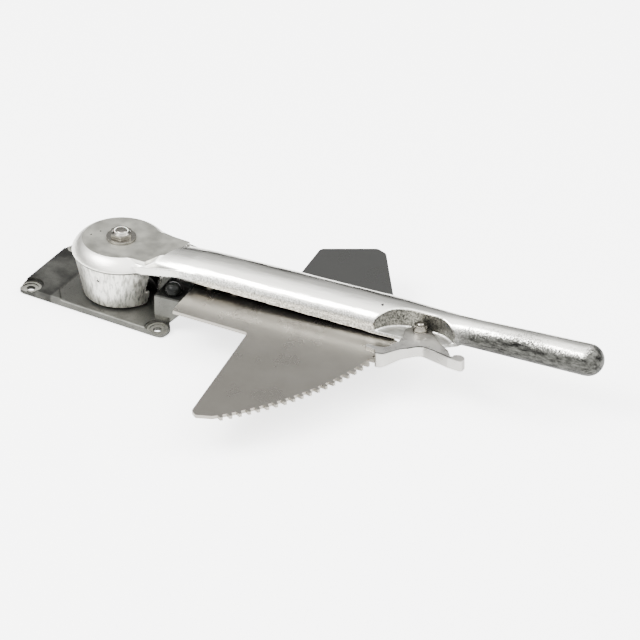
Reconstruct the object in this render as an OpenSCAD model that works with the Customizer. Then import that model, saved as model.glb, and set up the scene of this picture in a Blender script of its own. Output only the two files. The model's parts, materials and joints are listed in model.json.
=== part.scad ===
// Hand lever with a toothed locking quadrant, on a four-hole flange bracket.
// The lever turns about a vertical stud. A sprung pawl on the lever drops into
// the quadrant's teeth, and squeezing it towards the handle frees the lever.
// Row frame: origin on the pivot axis at the bracket's bottom face, +Z up and
// +X along the bracket's hole rows. Lengths are millimetres.

/* [Bracket] */
// Hole spacing along the bracket's long side
hole_dx = 120; // [110:1:130]
// Hole spacing along the bracket's short side
hole_dy = 70; // [66:1:76]
// Radius of the mounting holes
hole_r = 3.5; // [2.5:0.25:4]
// Thickness of the bracket's web
web_t = 5.5; // [4.5:0.1:6]
// Height of the seat that carries the quadrant
seat_z = 32; // [30:0.5:33]

/* [Pivot] */
// Radius of the pivot stud
stud_r = 5; // [4:0.5:6]
// Height of the machined flat on the hub
hub_top_z = 55; // [54:0.5:56]
// Radius of the hub's rim
rim_r = 40; // [38:0.5:42]
// Running clearance on the radius of a turning fit
run_fit = 0.05; // [0.02:0.01:0.09]

/* [Lever] */
// Angle of the lever from the hole rows
lever_rest = 6.3; // [0:0.1:10]
// Half width of the lever's beam
beam_half_w = 20; // [18:0.5:22]
// Height of the beam's ridge
beam_top_z = 58.5; // [57:0.5:60]
// Height of the line where the crown meets the flange
parting_z = 46.7; // [45:0.1:48]
// Distance from the pivot to the start of the handle
handle_start = 305; // [300:1:310]
// Distance from the pivot to the centre of the handle's round end
handle_end = 411.5; // [400:0.5:430]
// Handle radius at its thin end
handle_r0 = 11.6; // [11:0.1:12.5]
// Handle radius at its round end
handle_r1 = 13.2; // [12:0.1:14]
// Height of the handle's axis at its thin end
handle_z = 47.9; // [47:0.1:48.5]
// How much the handle's axis rises to its round end
handle_rise = 1.8; // [0:0.1:3]

/* [Quadrant] */
// Radius over the tips of the teeth
tip_r = 254; // [252:0.5:255]
// Depth of the teeth
tooth_depth = 4; // [3:0.25:4.5]
// Angle between two teeth
pitch = 1.8; // [1.8:0.1:2.0]
// Number of teeth
tooth_count = 24; // [20:1:26]
// Angle of the tooth nearest the lever, from the lever at rest
first_tooth = -4.3; // [-5:0.1:-4]
// Thickness of the quadrant
quad_t = 3; // [2.5:0.25:3.25]

/* [Pawl] */
// Distance from the lever's pivot to the pawl's pivot
pawl_x = 269.6; // [269:0.1:270]
// Offset of the pawl's pivot towards the near side
pawl_y = -9.8; // [-10:0.1:-9.5]
// Thickness of the pawl's web
pawl_t = 4; // [3.5:0.1:4.2]
// Underside of the pawl's finger wall
finger_z = 31.5; // [31:0.1:33]
// How much the wall's underside rises from the claw to the finger
finger_rise = 3; // [0:0.5:4]
// Thickness of the finger wall
finger_t = 3.6; // [3:0.1:4]

/* [Hidden] */
$fn = 64;
hull_fn = 32;
gap = 0.15;
holes_cx = -5.8;
holes_cy = 3;
ear_x0 = -74;
ear_x1 = 63;
ear_y0 = -38.5;
ear_y1 = 45;
ear_z = 3;
post_r = 14;
post_z = 34;
stud_z0 = 12;
stud_z1 = 62.5;
thrust_t = 2;
boss_r = 14;
bush_r = 7;
boss_z = post_z + thrust_t + gap;
skirt_z0 = 7;
skirt_z1 = 43;
skirt_r0 = 31;
skirt_r1 = 37.5;
skirt_wall = 4;
cap_floor_z = 49;
flat_r = 27;
mouth_half = 20;
beam_wall = 4;
flange_x0 = 59;
flange_z0 = 42;
flange_x1 = 212;
flange_z1 = 36;
beam_x0 = 48;
saddle_x = 56;
saddle_z = 53.8;
crown_x = 84;
beam_x1 = 232;
shelf_z = 40;
shelf_z0 = 36.8;
shoulder_z0 = 43.5;
tuck = 0.2;
pocket_r = 30;
pocket_x0 = 261;
pocket_x1 = 277;
pocket_y = -31.2;
quad_z = seat_z;
quad_top = quad_z + quad_t;
root_r = tip_r - tooth_depth;
last_tooth = first_tooth - pitch * (tooth_count - 1);
tip_half = 0.26;
root_half = 0.46;
claw_angle = first_tooth - 3.5 * pitch;
plate_screw_x = [82, 104];
plate_screw_y = 6;
dowel_x = 93;
dowel_y = 10;
screw_r = 2.5;
dowel_r = 2;
lock_t = 1.2;
head_r = 4.5;
head_t = 2.4;
screw_z0 = 20;
ped_x0 = 44;
ped_x1 = 112;
ped_half = 31;
ped_wall = 6;
ped_step_x = 68;
ped_step_z = 30;
arm_tip_z = 24;
arm_foot_x = 56;
arm_knee_x = 74;
bumper_x = 57;
bumper_y = -22;
bumper_r = 6.5;
bumper_top = 39;
pawl_z0 = shelf_z + gap;
pawl_z1 = pawl_z0 + pawl_t;
sleeve_z1 = pawl_z1 + gap;
sleeve_r = 4.5;
bolt_r = 3;
bolt_head_z = 29;
pawl_boss_z = 33;
pawl_boss_r = 10;
spring_pocket_r = 8;
spring_pocket_z = 36.6;
spring_r = 5.7;
spring_wire = 0.5;
spring_coils = 2.25;
spring_leg_z = 41.8;
pin_r = 0.6;
pin_at = 7;
pin_z0 = 35;
pawl_washer_t = 1;
pawl_nut_t = 5;
pawl_nut_af = 10;
bolt_z1 = 51.8;
nut_af = 16.1;
washer_r = 12;
washer_t = 1.8;
nut_t = 3.7;
nut_z0 = hub_top_z + gap + washer_t;
collar_z0 = nut_z0 + nut_t;
collar_t = 1.4;
insert_r = 5.9;

// ---- outline helpers ----

// Points on an arc about a centre
function arc(c, r, a0, a1, n) =
    [for (i = [0:n]) let (a = a0 + (a1 - a0) * i / n) c + r * [cos(a), sin(a)]];
function unit(v) = v / norm(v);
function turn_between(a, b) = ((b - a + 540) % 360) - 180;

// Round one corner q between p and s with radius r
function corner(p, q, s, r, n = 5) =
    let (u = unit(p - q), v = unit(s - q), half = acos(min(1, max(-1, u * v))) / 2,
         c = q + unit(u + v) * r / sin(half), a = q + u * r / tan(half) - c, b = q + v * r / tan(half) - c,
         a0 = atan2(a.y, a.x), da = turn_between(a0, atan2(b.y, b.x)))
    [for (i = [0:n]) c + r * [cos(a0 + da * i / n), sin(a0 + da * i / n)]];

// Outline from points [x, y, corner radius]
function rounded(pts) = [for (i = [0:len(pts) - 1])
    let (m = len(pts), p = pts[(i + m - 1) % m], q = pts[i], s = pts[(i + 1) % m])
    each q[2] == 0 ? [[q.x, q.y]] : corner([p.x, p.y], [q.x, q.y], [s.x, s.y], q[2])];

function polar(r, a) = [r * cos(a), r * sin(a)];

module ring(r_out, r_in, h) {
    difference() {
        cylinder(r = r_out, h = h);
        translate([0, 0, -1]) cylinder(r = r_in, h = h + 2);
    }
}

module hex(af, h) {
    cylinder(r = af / 2 / cos(30), h = h, $fn = 6);
}

// A flat piece cut from an outline between two heights
module slab(pts, z0, z1) {
    translate([0, 0, z0]) linear_extrude(z1 - z0) polygon(pts);
}

module at_rest_angle() {
    rotate([0, 0, lever_rest]) children();
}

module at_holes() {
    for (sx = [-1, 1], sy = [-1, 1])
        translate([holes_cx + sx * hole_dx / 2, holes_cy + sy * hole_dy / 2, 0])
            mirror([sx < 0 ? 1 : 0, 0, 0]) mirror([0, sy < 0 ? 1 : 0, 0]) children();
}

module at_screws() {
    for (x = plate_screw_x, s = [-1, 1]) at_rest_angle() translate([x, s * plate_screw_y, 0]) children();
}

module at_dowels() {
    for (s = [-1, 1]) at_rest_angle() translate([dowel_x, s * dowel_y, 0]) children();
}

// ---- bracket ----

function base_outline() = rounded([
    [ear_x0, ear_y0, 4], [ear_x1, ear_y0, 5], [ear_x1, -26, 4], [50, -12, 6], [50, 18, 6],
    [ear_x1, 32, 4], [ear_x1, ear_y1, 5], [ear_x0, ear_y1, 3]]);

module ear_steps() {
    translate([0, 0, 4.7]) cylinder(r = 10.5, h = 5);
    translate([0, 0, 3.9]) cylinder(r = 8.5, h = 5);
    translate([0, 0, ear_z]) cylinder(r = 6.5, h = 5);
    translate([0, 0, ear_z]) cube([20, 20, 5]);
    translate([0, 0, -1]) cylinder(r = hole_r, h = 10);
}

// One cheek of the arm: it stands on the web and runs out under the quadrant
module arm_cheek() {
    rotate([90, 0, 0]) linear_extrude(ped_wall) polygon([
        [ped_x0, ear_z], [arm_foot_x, ear_z], [arm_knee_x, arm_tip_z], [ped_x1, arm_tip_z], [ped_x1, seat_z],
        [ped_step_x, seat_z], [ped_step_x, ped_step_z], [ped_x0, ped_step_z]]);
}

module bracket() {
    color("gray") difference() {
        union() {
            difference() {
                slab(base_outline(), 0, web_t);
                at_holes() ear_steps();
            }
            cylinder(r = post_r, h = post_z);
            translate([0, 0, web_t]) cylinder(r1 = post_r + 5, r2 = post_r, h = 6);
            at_rest_angle() {
                translate([0, -ped_half + ped_wall, 0]) arm_cheek();
                translate([0, ped_half, 0]) arm_cheek();
                 slab([[ped_step_x, -ped_half], [ped_x1, -ped_half],
                       [ped_x1, ped_half], [ped_step_x, ped_half]],
                     arm_tip_z, seat_z);
                 slab([[ped_x0, -ped_half], [ped_step_x, -ped_half],
                       [ped_step_x, ped_half], [ped_x0, ped_half]],
                     arm_tip_z, ped_step_z);
            }
        }
        translate([0, 0, stud_z0]) cylinder(r = stud_r, h = post_z);
        at_screws() translate([0, 0, screw_z0 - 1]) cylinder(r = screw_r, h = seat_z);
        at_dowels() translate([0, 0, arm_tip_z - 1]) cylinder(r = dowel_r, h = seat_z);
        at_rest_angle() translate([bumper_x, bumper_y, arm_tip_z - 1]) cylinder(r = 2, h = seat_z);
    }
}

// ---- quadrant ----

// One tooth: up one flank, along the tip and down the other
function tooth(a) = [polar(root_r, a - root_half), polar(tip_r, a - tip_half),
                     polar(tip_r, a + tip_half), polar(root_r, a + root_half)];

function quadrant_outline() = rounded(concat(
    [[71, -53.5, 2], [140.3, -57.8, 3], [151.4, -182.4, 4], [157, -187.3, 2], [169.7, -183.3, 0]],
    [for (i = [0:tooth_count - 1], p = tooth(last_tooth + pitch * i)) [p.x, p.y, 0]],
    [[247, -7, 0], [246, 0, 4], [187.7, 99.1, 6], [178.4, 103.1, 4], [136.9, 83.2, 5], [139, 42, 3],
     [71, 42, 2]]));

module quadrant_plate() {
    color("silver") difference() {
        at_rest_angle() slab(quadrant_outline(), quad_z, quad_top);
        at_screws() translate([0, 0, quad_z - 1]) cylinder(r = screw_r + 0.15, h = quad_t + 2);
        at_dowels() translate([0, 0, quad_z - 1]) cylinder(r = dowel_r, h = quad_t + 2);
    }
}

module quadrant_screws() {
    color("dimgray") at_screws() {
        translate([0, 0, screw_z0]) cylinder(r = screw_r, h = quad_top + lock_t - screw_z0);
        difference() {
            translate([0, 0, quad_top + lock_t]) cylinder(r1 = head_r, r2 = head_r - 1, h = head_t);
            translate([0, 0, quad_top + lock_t + 1]) hex(3, head_t);
        }
    }
}

module quadrant_lock_washers() {
    color("silver") at_screws() translate([0, 0, quad_top]) difference() {
        ring(head_r, screw_r + 0.1, lock_t);
        translate([0, -0.4, -1]) cube([head_r + 1, 0.8, lock_t + 2]);
    }
}

module quadrant_dowels() {
    color("silver") at_dowels() translate([0, 0, arm_tip_z]) cylinder(r = dowel_r, h = quad_top - arm_tip_z);
}

module rubber_bumper() {
    color("black") at_rest_angle() translate([bumper_x, bumper_y, 0]) {
        translate([0, 0, arm_tip_z]) cylinder(r = 2, h = ped_step_z - arm_tip_z + 1);
        translate([0, 0, ped_step_z]) rotate_extrude() polygon(concat(
            [[0, 0], [bumper_r - 1, 0], [bumper_r, 2], [bumper_r, 4]],
            arc([bumper_r - 5, 4], 5, 20, 90, 8), [[0, bumper_top - ped_step_z]]));
    }
}

// ---- pivot ----

module pivot_stud() {
    color("silver") {
        translate([0, 0, stud_z0]) cylinder(r = stud_r, h = stud_z1 - stud_z0 - 0.8);
        translate([0, 0, stud_z1 - 0.8]) cylinder(r1 = stud_r, r2 = stud_r - 0.8, h = 0.8);
    }
}

module thrust_washer() {
    color("goldenrod") translate([0, 0, post_z]) ring(post_r - 0.5, stud_r + 0.2, thrust_t);
}

module pivot_washer() {
    color("silver") translate([0, 0, hub_top_z + gap]) ring(washer_r, stud_r + 0.2, washer_t);
}

module pivot_lock_nut() {
    color("silver") difference() {
        union() {
            intersection() {
                translate([0, 0, nut_z0]) hex(nut_af, nut_t);
                translate([0, 0, nut_z0]) cylinder(r1 = nut_af, r2 = nut_af / 2, h = nut_t + 4);
            }
            translate([0, 0, collar_z0]) cylinder(r1 = 7.6, r2 = 6.7, h = collar_t);
        }
        translate([0, 0, nut_z0 - 1]) cylinder(r = stud_r, h = nut_t + 2);
        translate([0, 0, collar_z0]) cylinder(r = insert_r, h = collar_t + 1);
    }
}

module nut_nylon_insert() {
    color("whitesmoke") translate([0, 0, collar_z0]) ring(insert_r, stud_r, collar_t - 0.3);
}

// ---- lever ----

// Half-ellipse crown over straight sides, in the plane across the beam
function crown(half_w, top_z, low_z) = concat(
    [[-half_w, low_z]],
    [for (i = [0:24]) [-half_w * cos(i * 7.5), parting_z + (top_z - parting_z) * sin(i * 7.5)]],
    [[half_w, low_z]]);

module beam_run(x0, x1, half_w, top_z, low_z) {
    translate([x0, 0, 0]) rotate([90, 0, 90]) linear_extrude(x1 - x0) polygon(crown(half_w, top_z, low_z));
}

// Outside of the round hub: skirt, rim and shoulder
module hub_outside() {
    rotate_extrude() polygon(concat(
        [[0, skirt_z0], [skirt_r0, skirt_z0], [skirt_r1, skirt_z1], [rim_r - 1, skirt_z1 + 0.6]],
        [for (i = [0:8]) [flat_r + (rim_r - flat_r) * cos(i * 11.25), 45 + (hub_top_z - 45) * sin(i * 11.25)]],
        [[0, hub_top_z]]));
}

module hub_inside() {
    rotate_extrude() polygon([[0, skirt_z0 - 1], [skirt_r0 - skirt_wall, skirt_z0 - 1],
        [skirt_r1 - skirt_wall, skirt_z1], [skirt_r1 - skirt_wall - 2, cap_floor_z], [0, cap_floor_z]]);
    // the skirt's mouth, under the beam
    slab([[0, 0], 60 * [cos(mouth_half), -sin(mouth_half)], 60 * [cos(mouth_half), sin(mouth_half)]],
         skirt_z0 - 1, skirt_z1);
}

// Wedge that slopes the underside of the flanges
module flange_wedge() {
    slope = (flange_z1 - flange_z0) / (flange_x1 - flange_x0);
    rotate([90, 0, 0]) translate([0, 0, -50]) linear_extrude(100) polygon([
        [40, 20], [flange_x1 + 10, 20], [flange_x1 + 10, flange_z1 + slope * 10],
        [40, flange_z0 + slope * (40 - flange_x0)]]);
}

module handle() {
    tilt = atan(handle_rise / (handle_end - handle_start));
    translate([handle_start - 0.5, 0, handle_z]) rotate([0, 90 - tilt, 0])
        cylinder(r1 = handle_r0, r2 = handle_r1, h = norm([handle_end - handle_start + 0.5, handle_rise]));
    translate([handle_end, 0, handle_z + handle_rise]) rotate([0, 90, 0]) sphere(r = handle_r1);
}

// Pocket that the pawl swings in: two quarter rounds with a straight between them
function pocket_outline() = concat(
    arc([pocket_x0, pocket_y], pocket_r, 180, 90, 16), arc([pocket_x1, pocket_y], pocket_r, 90, 0, 16),
    [[pocket_x1 + pocket_r, pocket_y - 20], [pocket_x0 - pocket_r, pocket_y - 20]]);

// The thick neck between the beam and the handle
module neck() {
    hull() {
        beam_run(beam_x1 - 6, beam_x1, beam_half_w - tuck, beam_top_z - tuck, flange_z1 + tuck);
        translate([handle_start, 0, handle_z]) rotate([0, 90, 0])
            cylinder(r = handle_r0 - tuck, h = 2, $fn = hull_fn);
    }
    slab(rounded([[228, -19.4, 0], [288, -18.6, 10], [302, -8, 0], [302, 8, 0], [228, 8, 0]]),
         shelf_z0, shelf_z + 3);
}

// The hub's shoulder runs out to a low saddle, and the crown rises from there
module hub_to_beam() {
    hull() {
        translate([0, 0, shoulder_z0]) cylinder(r = rim_r - 6, h = 7.5, $fn = 2 * hull_fn);
        beam_run(saddle_x, saddle_x + 1, beam_half_w + 1, saddle_z, shoulder_z0);
    }
    hull() {
        beam_run(saddle_x - 1, saddle_x, beam_half_w + 0.8, saddle_z - 0.2, shoulder_z0 + 0.2);
        beam_run(crown_x, crown_x + 2, beam_half_w - tuck, beam_top_z - tuck, shoulder_z0 + 0.2);
    }
}

// The machined flat carries on past the hub, as far as a slanting edge
module hub_flat() {
    slab([[0, -24], [33.4, -26.1], [53.3, 17.5], [0, 24]], cap_floor_z, hub_top_z);
}

module lever_outside() {
    hub_outside();
    hub_flat();
    difference() {
        union() {
            hub_to_beam();
            beam_run(crown_x, beam_x1, beam_half_w, beam_top_z, flange_z1);
            beam_run(beam_x0, crown_x + 2, beam_half_w - tuck, saddle_z - 3, flange_z1);
        }
        flange_wedge();
    }
    neck();
    handle();
}

module lever() {
    color("gainsboro") at_rest_angle() difference() {
        union() {
            difference() {
                lever_outside();
                hub_inside();
                beam_run(boss_r - 2, beam_x1 - 8, beam_half_w - beam_wall, beam_top_z - beam_wall - 4, 20);
                slab(pocket_outline(), shelf_z, shelf_z + 30);
            }
            translate([0, 0, boss_z]) cylinder(r = boss_r, h = hub_top_z - boss_z);
            translate([pawl_x, pawl_y, pawl_boss_z]) cylinder(r = pawl_boss_r, h = shelf_z - pawl_boss_z);
        }
        translate([0, 0, boss_z - 1]) cylinder(r = bush_r, h = 30);
        translate([pawl_x, pawl_y, pawl_boss_z - 1]) cylinder(r = bolt_r + 0.1, h = 10);
        translate([pawl_x, pawl_y, spring_pocket_z]) cylinder(r = spring_pocket_r, h = 10);
        translate([pawl_x, pawl_y, 0]) at_spring_pin() cylinder(r = pin_r, h = 10);
    }
}

// The spring pin's foot, beside the coil
module at_spring_pin() {
    rotate([0, 0, 150]) translate([pin_at, 0, pin_z0]) children();
}

module pivot_bushing() {
    color("goldenrod") translate([0, 0, boss_z]) ring(bush_r, stud_r + run_fit, hub_top_z - boss_z);
}

// ---- pawl ----

function pawl_web_outline() = rounded([
    [238.5, -48.5, 1.6], [239.6, -44.2, 1.6], [247, -45.5, 3], [255, -43.5, 5], [260.4, -33, 8], [260.4, -24, 8],
    [257.2, -13.5, 3], [261.5, -3.4, 5], [275, -3.2, 5], [284, -12.6, 6], [292, -20.4, 8], [301.7, -26.7, 2],
    [306.5, -33.2, 0], [304, -35.2, 0], [292, -31.8, 8], [279.4, -28.3, 8], [264.8, -41.8, 12],
    [257.4, -53.2, 6], [251.5, -54.6, 1.5], [248.5, -50.5, 3]]);

// The tall front wall, from the claw round to the hooked finger end
function finger_outline() = rounded([
    [249.6, -51.5, 1], [251, -56.6, 2], [258, -55.2, 6], [266, -43.2, 12], [279, -30.4, 8], [292, -33.6, 8],
    [306, -37.4, 8], [318.8, -38.8, 2.5], [319.2, -31.4, 4], [313.6, -28.6, 3], [308.8, -30.8, 2],
    [308.4, -33.8, 0.5], [304, -33.6, 4],
    [292, -33.6 + finger_t, 8], [279.6, -30.4 + finger_t + 0.8, 8], [263.6, -40.6, 12], [256.4, -51.4, 4]]);

// The locking tooth hangs under the claw and leans with the pawl's swing
function claw_tooth_outline() = [
    polar(root_r + 0.7, claw_angle + 0.0), polar(root_r + 0.7, claw_angle + 0.34),
    polar(tip_r + 0.6, claw_angle + 0.56), polar(tip_r + 6, claw_angle + 0.6),
    polar(tip_r + 5, claw_angle - 1.7), polar(tip_r + 2, claw_angle - 1.5), polar(tip_r + 0.6, claw_angle - 0.12)];

// Removes the metal under the finger, where nothing has to reach the teeth
module finger_relief() {
    rotate([90, 0, 0]) translate([0, 0, 20]) linear_extrude(50) polygon([
        [255, finger_z - 2], [330, finger_z - 2], [330, finger_z + finger_rise], [268, finger_z + finger_rise],
        [255, finger_z]]);
}

module pawl() {
    color("darkgray") at_rest_angle() difference() {
        union() {
            slab(pawl_web_outline(), pawl_z0, pawl_z1);
            difference() {
                slab(finger_outline(), finger_z, pawl_z1);
                finger_relief();
            }
            slab(claw_tooth_outline(), finger_z, pawl_z1 - 1);
        }
        translate([pawl_x, pawl_y, pawl_z0 - 1]) cylinder(r = sleeve_r + run_fit, h = pawl_t + 2);
        translate([pawl_x, pawl_y - spring_r, pawl_z0 - 1]) cylinder(r = 1.7, h = 1 + 2.5);
    }
}

module at_pawl() {
    at_rest_angle() translate([pawl_x, pawl_y, 0]) children();
}

module pawl_sleeve() {
    color("goldenrod") at_pawl() translate([0, 0, spring_pocket_z])
        ring(sleeve_r, bolt_r + 0.05, sleeve_z1 - spring_pocket_z);
}

module pawl_bolt() {
    color("silver") at_pawl() {
        translate([0, 0, bolt_head_z]) hex(pawl_nut_af, pawl_boss_z - bolt_head_z);
        translate([0, 0, pawl_boss_z]) cylinder(r = bolt_r, h = bolt_z1 - pawl_boss_z - 0.5);
        translate([0, 0, bolt_z1 - 0.5]) cylinder(r1 = bolt_r, r2 = bolt_r - 0.5, h = 0.5);
    }
}

module pawl_washer() {
    color("silver") at_pawl() translate([0, 0, sleeve_z1]) ring(6.2, bolt_r + 0.2, pawl_washer_t);
}

module pawl_nut() {
    color("silver") at_pawl() translate([0, 0, sleeve_z1 + pawl_washer_t]) difference() {
        intersection() {
            hex(pawl_nut_af, pawl_nut_t);
            cylinder(r1 = pawl_nut_af, r2 = pawl_nut_af / 2, h = pawl_nut_t + 1.6);
        }
        translate([0, 0, -1]) cylinder(r = bolt_r, h = pawl_nut_t + 2);
    }
}

// ---- the pawl's return spring: a short torsion coil round the sleeve ----

coil_steps = 20;
coil_sides = 8;
coil_turn = 360 / coil_steps;
coil_z0 = spring_pocket_z + spring_wire + 0.05;
coil_pitch = 2 * spring_wire + 0.02;
coil_last = spring_coils * coil_steps;
coil_start = -90 - spring_coils * 360;
coil_top = coil_z0 + coil_pitch * spring_coils;
leg_rings = 3;

// Direction out from the coil's axis at ring i; the leg keeps the last one
function coil_out(i) = let (a = coil_start + min(i, coil_last) * coil_turn) [cos(a), sin(a), 0];
function spring_point(i) = i <= coil_last
    ? spring_r * coil_out(i) + [0, 0, coil_z0 + coil_pitch * i / coil_steps]
    : spring_r * coil_out(i) + [0, 0, coil_top + (spring_leg_z - coil_top) * (i - coil_last) / leg_rings];
function spring_way(i) = unit(spring_point(min(i + 1, coil_last + leg_rings)) - spring_point(max(i - 1, 0)));
function spring_ring(i) = let (side = cross(spring_way(i), coil_out(i)))
    [for (k = [0:coil_sides - 1]) let (b = k * 360 / coil_sides)
        spring_point(i) + spring_wire * (cos(b) * coil_out(i) + sin(b) * side)];

module pawl_spring() {
    last = coil_last + leg_rings;
    color("silver") at_pawl() polyhedron(
        points = [for (i = [0:last]) each spring_ring(i)],
        faces = concat(
            [for (i = [0:last - 1], k = [0:coil_sides - 1]) let (m = (k + 1) % coil_sides)
                [i * coil_sides + k, i * coil_sides + m, (i + 1) * coil_sides + m, (i + 1) * coil_sides + k]],
            [[for (k = [0:coil_sides - 1]) coil_sides - 1 - k],
             [for (k = [0:coil_sides - 1]) last * coil_sides + k]]));
}

// Pin that the spring's fixed end bears on
module pawl_spring_pin() {
    color("dimgray") at_pawl() at_spring_pin() cylinder(r = pin_r, h = shelf_z - 1 - pin_z0);
}

bracket();
quadrant_plate();
quadrant_screws();
quadrant_lock_washers();
quadrant_dowels();
rubber_bumper();
pivot_stud();
thrust_washer();
pivot_washer();
pivot_lock_nut();
nut_nylon_insert();
lever();
pivot_bushing();
pawl();
pawl_sleeve();
pawl_bolt();
pawl_washer();
pawl_nut();
pawl_spring();
pawl_spring_pin();
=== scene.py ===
import json
import math

import bpy
from mathutils import Matrix, Vector

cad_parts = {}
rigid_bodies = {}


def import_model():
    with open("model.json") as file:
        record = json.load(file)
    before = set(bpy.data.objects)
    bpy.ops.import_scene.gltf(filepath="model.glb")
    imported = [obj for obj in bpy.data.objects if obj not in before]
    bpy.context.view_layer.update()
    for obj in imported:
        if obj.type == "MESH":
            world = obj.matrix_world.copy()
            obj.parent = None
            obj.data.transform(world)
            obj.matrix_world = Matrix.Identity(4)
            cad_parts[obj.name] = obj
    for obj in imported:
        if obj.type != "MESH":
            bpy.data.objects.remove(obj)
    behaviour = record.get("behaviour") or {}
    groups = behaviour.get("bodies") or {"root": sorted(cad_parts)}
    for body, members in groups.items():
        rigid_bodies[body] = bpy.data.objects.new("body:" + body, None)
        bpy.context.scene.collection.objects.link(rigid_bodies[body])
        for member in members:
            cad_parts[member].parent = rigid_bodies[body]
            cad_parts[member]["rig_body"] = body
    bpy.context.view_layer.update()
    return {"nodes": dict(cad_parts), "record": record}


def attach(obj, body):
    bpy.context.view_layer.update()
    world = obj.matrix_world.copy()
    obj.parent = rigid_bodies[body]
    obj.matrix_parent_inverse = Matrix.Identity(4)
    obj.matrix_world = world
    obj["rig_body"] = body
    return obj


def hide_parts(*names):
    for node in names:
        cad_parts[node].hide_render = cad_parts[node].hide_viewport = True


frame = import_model()
nodes = frame["nodes"]

# %% [markdown]
# ## Units and hands
# Sizes are written in millimetres, as on a drawing, and MM turns them into metres. The lever and
# the quadrant lie at an angle to the bracket's hole rows, so their pieces are made along X and
# turned about the pivot at the end. The next helpers do what hands do in the viewport: pick one
# object, pick some faces, apply a modifier.
# %% Units and hands
MM = 0.001
REST_ANGLE = math.radians(6.3)
PAWL_X, PAWL_Y = 269.6, -9.8


def pick(obj):
    """Deselect everything, then select one object and make it active."""
    if bpy.context.mode != "OBJECT":
        bpy.ops.object.mode_set(mode="OBJECT")
    bpy.ops.object.select_all(action="DESELECT")
    obj.select_set(True)
    bpy.context.view_layer.objects.active = obj


def tidy_normals(obj):
    """Merge doubled points and turn every face outwards."""
    pick(obj)
    bpy.ops.object.mode_set(mode="EDIT")
    bpy.ops.mesh.select_all(action="SELECT")
    bpy.ops.mesh.remove_doubles(threshold=0.002 * MM)
    bpy.ops.mesh.normals_make_consistent(inside=False)
    bpy.ops.object.mode_set(mode="OBJECT")


def apply_modifier(obj, kind, **settings):
    """Add a modifier, set it and apply it."""
    modifier = obj.modifiers.new(kind.title(), kind)
    for key, value in settings.items():
        setattr(modifier, key, value)
    pick(obj)
    bpy.ops.object.modifier_apply(modifier=modifier.name)


def turn_to_rest(obj):
    """Turn a piece made along X to the lever's place at rest."""
    obj.data.transform(Matrix.Rotation(REST_ANGLE, 4, "Z"))
    obj.data.update()


def triangles(obj):
    return sum(len(p.vertices) - 2 for p in obj.data.polygons)


# %% [markdown]
# ## Two ways to start a piece
# Almost every solid here starts from a circle. A **plate** is a filled circle whose points are set
# out along an outline and which is then extruded. A **limb** is a filled circle that is extruded
# ring by ring, each new ring moved and scaled, which is how a handle or a turned hub is drawn by hand.
# %% Plates and limbs
def new_circle(name, points, rotation=(0, 0, 0)):
    bpy.ops.object.select_all(action="DESELECT")
    bpy.ops.mesh.primitive_circle_add(vertices=points, radius=1, fill_type="NGON", rotation=rotation)
    obj = bpy.context.object
    obj.name = obj.data.name = name
    bpy.ops.object.transform_apply(location=True, rotation=True, scale=True)
    return obj


def plate(name, outline, low, high):
    """A flat piece between two heights, from an outline in millimetres."""
    obj = new_circle(name, len(outline))
    for vertex, (x, y) in zip(obj.data.vertices, outline):
        vertex.co = Vector((x, y, low)) * MM
    bpy.ops.object.mode_set(mode="EDIT")
    bpy.ops.mesh.select_all(action="SELECT")
    bpy.ops.mesh.extrude_region_move(TRANSFORM_OT_translate={"value": (0, 0, (high - low) * MM)})
    tidy_normals(obj)
    return obj


def limb(name, rings, axis="X", sides=64):
    """A round form from rings of (place along the axis, centre height, half width, half height)."""
    turn = (0, math.pi / 2, 0) if axis == "X" else (0, 0, 0)
    obj = new_circle(name, sides, turn)

    def place(ring):
        at, height, wide, high = ring
        if axis == "X":
            return Vector((at, 0, height)) * MM, Vector((1, wide, high)) * MM
        return Vector((0, 0, at)) * MM, Vector((wide, high, 1)) * MM

    centre, size = place(rings[0])
    for vertex in obj.data.vertices:
        vertex.co = Vector(c * s for c, s in zip(vertex.co, size)) + centre
    bpy.ops.object.mode_set(mode="EDIT")
    bpy.ops.mesh.select_all(action="SELECT")
    for ring in rings[1:]:
        before, was = centre, size
        centre, size = place(ring)
        bpy.ops.mesh.extrude_region_move(TRANSFORM_OT_translate={"value": centre - before})
        change = Vector(a / b for a, b in zip(size, was))
        bpy.ops.transform.resize(value=change, center_override=centre)
    tidy_normals(obj)
    return obj


def turned(name, profile, sides=96):
    """A piece turned about the pivot axis, from (radius, height) pairs."""
    return limb(name, [(z, 0, r, r) for r, z in profile], axis="Z", sides=sides)


# %% [markdown]
# ## Rounded outlines
# A drawing gives a corner as a point and a radius. This turns such a list into the points of the
# outline, with a short arc at each corner.
# %% Rounded outlines
def rounded(corners, steps=6):
    """Points of an outline from (x, y, corner radius)."""
    points = []
    for i, (x, y, radius) in enumerate(corners):
        here = Vector((x, y))
        back = (Vector(corners[i - 1][:2]) - here).normalized()
        ahead = (Vector(corners[(i + 1) % len(corners)][:2]) - here).normalized()
        if radius == 0:
            points.append((x, y))
            continue
        half = back.angle(ahead) / 2
        centre = here + (back + ahead).normalized() * radius / math.sin(half)
        first = here + back * radius / math.tan(half) - centre
        last = here + ahead * radius / math.tan(half) - centre
        sweep = first.angle_signed(last)
        for k in range(steps + 1):
            a = -sweep * k / steps
            points.append((centre.x + first.x * math.cos(a) - first.y * math.sin(a),
                           centre.y + first.x * math.sin(a) + first.y * math.cos(a)))
    return points


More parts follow.
